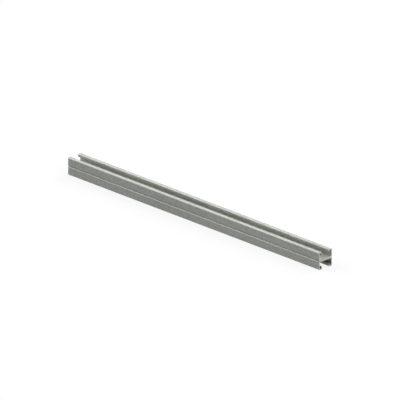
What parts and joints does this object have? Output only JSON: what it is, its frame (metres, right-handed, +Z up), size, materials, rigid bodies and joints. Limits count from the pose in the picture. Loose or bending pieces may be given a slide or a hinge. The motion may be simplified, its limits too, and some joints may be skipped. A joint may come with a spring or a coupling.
{
  "type": "back-to-back strut channel",
  "caption": "Straight length of double strut channel: shallow steel channels back to back, with open slots facing up and down between inturned lips.",
  "frame": {"origin": "middle of the bottom, on the plane of the lower lips", "axes": "+X along the length, +Y across the section, +Z up through the two slots"},
  "size_m": [0.8, 0.041, 0.042],
  "materials": {
    "upper_steel": "hot-dip galvanised steel, matt grey zinc with a faint spangle and rolling lines",
    "lower_steel": "hot-dip galvanised steel, matt grey zinc with a faint spangle and rolling lines"
  },
  "bodies": {
    "root": {"upper_channel": "upper_steel", "lower_channel": "lower_steel"}
  },
  "joints": []
}
